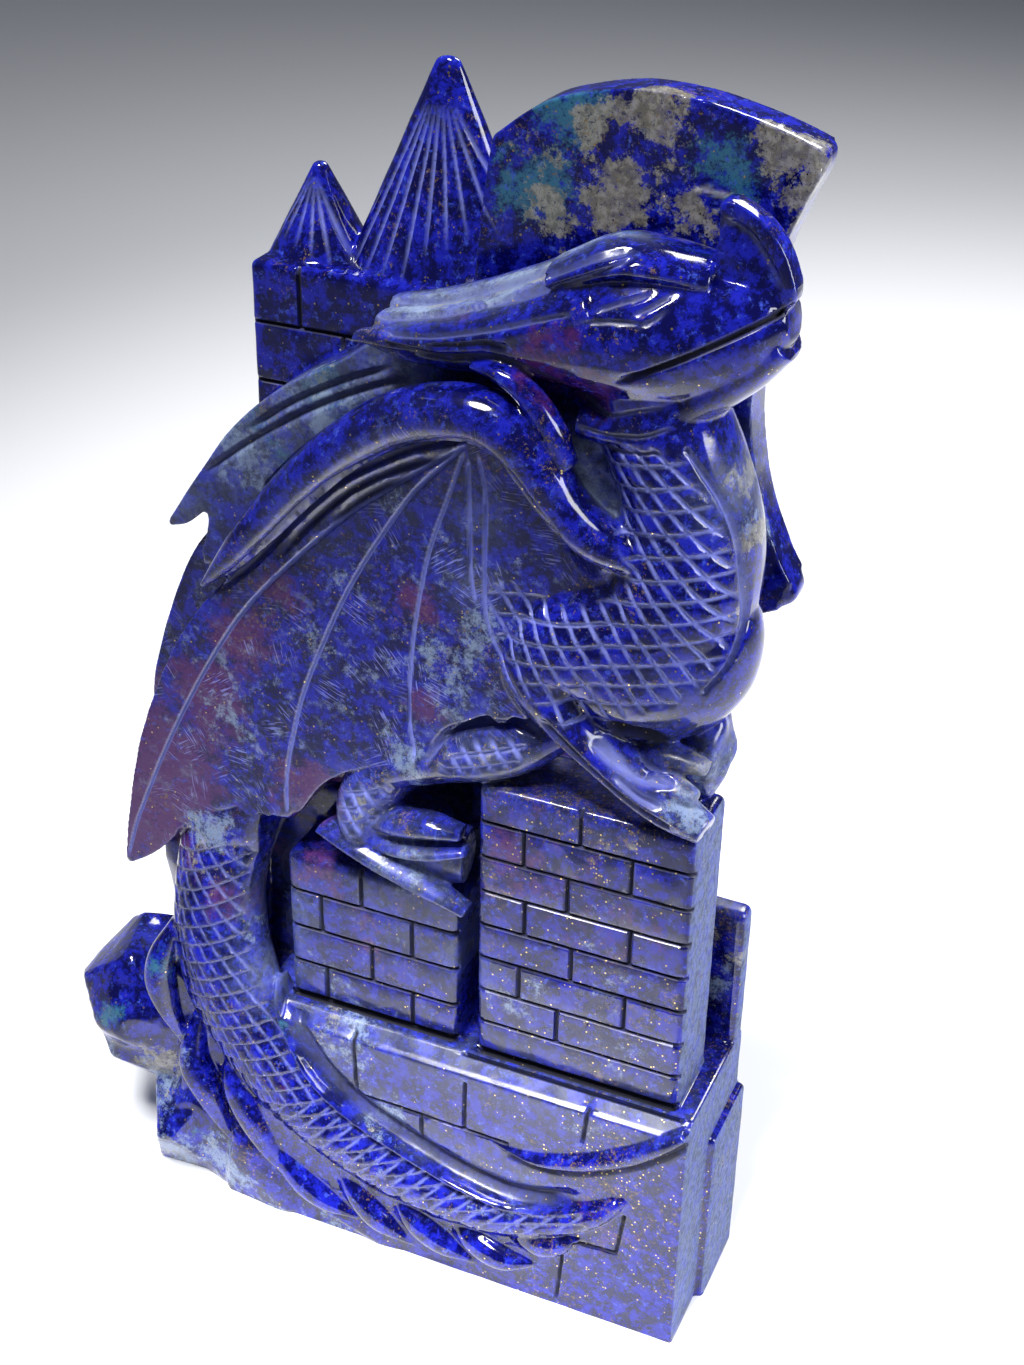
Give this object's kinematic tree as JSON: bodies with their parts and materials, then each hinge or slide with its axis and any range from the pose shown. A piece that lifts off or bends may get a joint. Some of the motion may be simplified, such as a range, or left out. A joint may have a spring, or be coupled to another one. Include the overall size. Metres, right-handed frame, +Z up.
{
  "type": "dragon statue",
  "caption": "Polished stone carving of a winged dragon perched on a small brick castle and its rock, cut from one block that stands on its flat underside.",
  "frame": {"origin": "near the middle of the flat underside, on the surface it stands on", "axes": "+Z up; +X to the right as the carved front is seen, the way the dragon faces; +Y from the front to the back"},
  "size_m": [0.1293, 0.0491, 0.2054],
  "materials": {
    "lapis": "polished"
  },
  "bodies": {
    "root": {"dragon_castle_carving": "lapis"}
  },
  "joints": []
}
